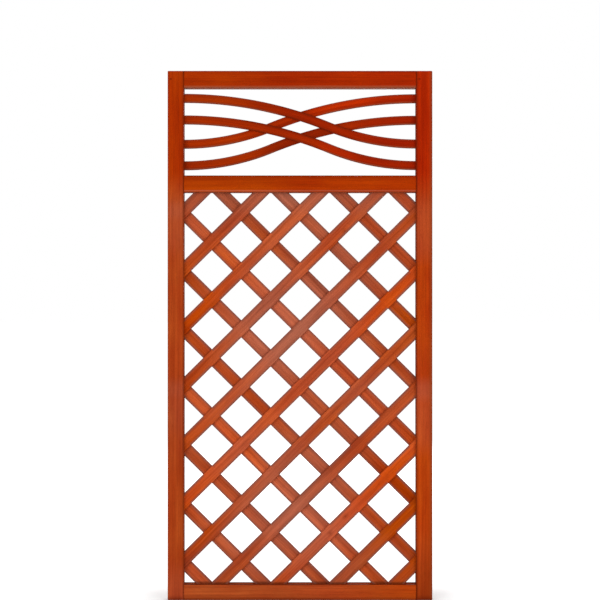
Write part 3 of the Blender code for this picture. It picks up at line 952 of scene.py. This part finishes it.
class FENCE_OT_brads(bpy.types.Operator):
    """Make the brads in the backs of the stiles"""
    bl_idname = "fence.brads"
    bl_label = "Brads"

    def execute(self, context):
        material = zinc_steel("brad_zinc", 3.0)
        for name in nodes_with("_brad_"):
            low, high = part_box(name)
            bm = self.brad(context.scene.fence_sizes, (high.z - low.z) / 2, high.y - low.y)
            head = Vector(((low.x + high.x) / 2, high.y, (low.z + high.z) / 2))
            aim = Matrix.Translation(head) @ Matrix.Rotation(-math.pi / 2, 4, "X")
            bmesh.ops.transform(bm, matrix=aim, verts=bm.verts)
            add_piece(name + "_steel", bm, material, name)
        return {"FINISHED"}

    def brad(self, sizes, radius, reach):
        """A brad with a low round head, dished at its middle; it points down from z = 0."""
        shank = radius * BRAD_SHANK
        dish = 0.0001
        shoulder = 0.0002
        return turned(((0, -dish), (radius * BRAD_CROWN, 0), (radius, -shoulder),
                       (radius, shoulder - sizes.brad_head), (shank, -sizes.brad_head),
                       (shank, sizes.brad_point - reach), (0, -reach)), BRAD_SIDES)


class FENCE_OT_staples(bpy.types.Operator):
    """Make the staples in the back of every crossing"""
    bl_idname = "fence.staples"
    bl_label = "Staples"

    def execute(self, context):
        sizes = context.scene.fence_sizes
        material = zinc_steel("staple_zinc", 7.0)
        for name in nodes_with("curve_staple"):
            low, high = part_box(name)
            spot = Vector(((low.x + high.x) / 2, high.y, (low.z + high.z) / 2))
            self.add_staple(sizes, name + "_steel", spot, 0.0, material, name)
        play = STAPLE_PLAY * sizes.slat_width
        for number, (x, rise) in enumerate(self.open_crossings(sizes), start=1):
            sway = (steady_share(number) - 0.5) * play / 2
            lift = sizes.lift + (steady_share(number * 3) - 0.5) * play
            spot = Vector((x + sway, LATTICE_BACK, LATTICE_CENTRE + rise + lift))
            turn = (steady_share(number * 5) - 0.5) * STAPLE_TURN
            self.add_staple(sizes, f"lattice_staple_{number:02d}", spot, turn, material)
        return {"FINISHED"}

    def open_crossings(self, sizes):
        """The crossings that the frame doesn't hide, each as x and the rise above the middle one."""
        widest = CLEAR_RIGHT - sizes.slat_width
        highest = LATTICE_HEAD - LATTICE_CENTRE - sizes.slat_width
        slats = range(-SLATS_PAST_MIDDLE, SLATS_PAST_MIDDLE + 1)
        for rising in slats:
            for falling in slats:
                x = (falling - rising) * sizes.pitch_x / 2
                rise = (falling + rising) * sizes.pitch_z / 2
                if abs(x) <= widest and abs(rise) <= highest:
                    yield x, rise

    def add_staple(self, sizes, name, spot, turn, material, stands_for=None):
        """Bend a round wire into a staple; its crown lies along X at the spot, and it points to -Y."""
        radius = sizes.staple_wire / 2
        bend = sizes.staple_wire
        half = sizes.staple_crown / 2 - radius
        leg = sizes.staple_leg - radius - bend
        bm = bmesh.new()
        bmesh.ops.create_circle(bm, cap_ends=True, radius=radius, segments=WIRE_SIDES)
        tip = Matrix.Translation((-half, -sizes.staple_leg, 0)) @ Matrix.Rotation(math.pi / 2, 4, "X")
        bmesh.ops.transform(bm, matrix=tip, verts=bm.verts)
        end = extrude_by(bm, bm.faces[:], (0, leg, 0))
        for centre, straight in ((bend - half, (2 * (half - bend), 0, 0)), (half - bend, (0, -leg, 0))):
            end = spun(bm, end, (centre, leg - sizes.staple_leg, 0), (0, 0, 1), -math.pi / 2,
                       WIRE_BEND_STEPS)
            end = extrude_by(bm, whole(end), straight)
        crown = spot + Vector((0, sizes.staple_proud, 0))
        aim = Matrix.Translation(crown) @ Matrix.Rotation(turn, 4, "Y")
        bmesh.ops.transform(bm, matrix=aim, verts=bm.verts)
        add_piece(name, bm, material, stands_for)


# The studio

# Lamps with their places, and how far the floor and the panel's shadow on it reach
LAMPS = (("key", (-2.6, -4.4, 2.2)), ("fill", (2.8, -4.2, 1.2)), ("back", (1.6, 4.6, 2.4)))
LAMP_SIZE = 2.6
FLOOR_REACH = 60
SHADOW_BESIDE = 0.66
SHADOW_BEHIND = (0.32, 0.05)
SENSOR_WIDTH = 36


class FENCE_OT_studio(bpy.types.Operator):
    """Make the white studio: floor, light from all round, three lamps and the camera"""
    bl_idname = "fence.studio"
    bl_label = "Studio"

    def execute(self, context):
        scene = context.scene
        stage = scene.fence_stage
        self.add_world(scene, stage)
        self.add_floor(scene, stage)
        for name, spot in LAMPS:
            self.add_lamp(scene, name, Vector(spot), getattr(stage, name))
        self.add_camera(scene, stage)
        scene.view_settings.view_transform = "Standard"
        return {"FINISHED"}

    def seen_directly(self, tree):
        """1 for rays from the camera, a mirror or glass, and 0 for the light that falls on things."""
        camera = node(tree, "ShaderNodeLightPath", output="Is Camera Ray")
        return camera.at_least(camera.output("Is Glossy Ray")).at_least(camera.output("Is Transmission Ray"))

    def add_world(self, scene, stage):
        """Level light from all round, which the camera sees as white."""
        world = bpy.data.worlds.new("studio_air")
        scene.world = world
        world.use_nodes = True
        tree = world.node_tree
        tree.nodes.clear()
        strength = stage.ambient + self.seen_directly(tree) * (1 - stage.ambient)
        air = node(tree, "ShaderNodeBackground", None, {"Color": WHITE, "Strength": strength})
        node(tree, "ShaderNodeOutputWorld", None, {"Surface": air})

    def add_floor(self, scene, stage):
        """A pale floor, brought up to white but for the panel's shadow round its foot."""
        bm = bmesh.new()
        bmesh.ops.create_grid(bm, x_segments=1, y_segments=1, size=FLOOR_REACH)
        mesh = bpy.data.meshes.new("studio_floor")
        bm.to_mesh(mesh)
        bm.free()
        material, tree = new_material("studio_floor")
        paint = linear(scene.fence_colours.floor)
        matt = node(tree, "ShaderNodeBsdfDiffuse", None, {"Color": paint})
        where = axes(tree, place(tree))
        at_foot = abs(where["X"]).step(SHADOW_BESIDE, CAD_BOX[1].x) * abs(where["Y"]).step(*SHADOW_BEHIND)
        fill = at_foot * (stage.foot_fill - stage.floor_fill) + stage.floor_fill
        glow = {"Color": WHITE, "Strength": self.seen_directly(tree) * fill}
        lift = node(tree, "ShaderNodeEmission", None, glow)
        both = node(tree, "ShaderNodeAddShader", None, {0: matt, 1: lift})
        node(tree, "ShaderNodeOutputMaterial", None, {"Surface": both})
        mesh.materials.append(material)
        floor = bpy.data.objects.new("studio_floor", mesh)
        scene.collection.objects.link(floor)

    def add_lamp(self, scene, name, spot, level):
        """Aim a square lamp at the panel's middle; a white card there renders at the level."""
        away = spot - Vector((0, 0, CAD_BOX[1].z / 2))
        lamp = bpy.data.lights.new(name + "_lamp", "AREA")
        lamp.shape = "SQUARE"
        lamp.size = LAMP_SIZE
        lamp.energy = level * math.pi ** 2 * away.length_squared
        holder = bpy.data.objects.new(name + "_lamp", lamp)
        scene.collection.objects.link(holder)
        holder.location = spot
        holder.rotation_euler = away.to_track_quat("Z", "Y").to_euler()

    def add_camera(self, scene, stage):
        """A level camera, square on to the panel's front."""
        camera = bpy.data.cameras.new("photo_camera")
        camera.sensor_width = SENSOR_WIDTH
        camera.lens = SENSOR_WIDTH * stage.camera_distance / stage.view_width
        holder = bpy.data.objects.new("photo_camera", camera)
        scene.collection.objects.link(holder)
        holder.location = (0, CAD_BOX[0].y - stage.camera_distance, stage.camera_height)
        holder.rotation_euler = (math.pi / 2, 0, 0)
        scene.camera = holder


# The sidebar and the run


class FENCE_PT_sidebar(bpy.types.Panel):
    """The panel's sizes and colours, and a button for each group of pieces"""
    bl_idname = "FENCE_PT_sidebar"
    bl_label = "Fence panel"
    bl_space_type = "VIEW_3D"
    bl_region_type = "UI"
    bl_category = "Fence panel"

    def draw(self, context):
        for group in (context.scene.fence_sizes, context.scene.fence_colours, context.scene.fence_stage):
            box = self.layout.box()
            for name in group.bl_rna.properties.keys():
                if name not in ("rna_type", "name"):
                    box.prop(group, name)
        for operator in OPERATORS:
            self.layout.operator(operator.bl_idname)


GROUPS = {"fence_sizes": FenceSizes, "fence_colours": FenceColours, "fence_stage": FenceStage}
OPERATORS = (FENCE_OT_stiles, FENCE_OT_rails, FENCE_OT_rising_slats, FENCE_OT_falling_slats,
             FENCE_OT_curved_slats, FENCE_OT_screws, FENCE_OT_brads, FENCE_OT_staples,
             FENCE_OT_studio)
CLASSES = (*GROUPS.values(), *OPERATORS, FENCE_PT_sidebar)


def register():
    for item in CLASSES:
        bpy.utils.register_class(item)
    for name, group in GROUPS.items():
        setattr(bpy.types.Scene, name, PointerProperty(type=group))


def unregister():
    for name in GROUPS:
        delattr(bpy.types.Scene, name)
    for item in reversed(CLASSES):
        bpy.utils.unregister_class(item)


def main():
    register()
    bpy.ops.fence.stiles()
    bpy.ops.fence.rails()
    bpy.ops.fence.rising_slats()
    bpy.ops.fence.falling_slats()
    bpy.ops.fence.curved_slats()
    bpy.ops.fence.screws()
    bpy.ops.fence.brads()
    bpy.ops.fence.staples()
    bpy.ops.fence.studio()


if __name__ == "__main__":
    main()
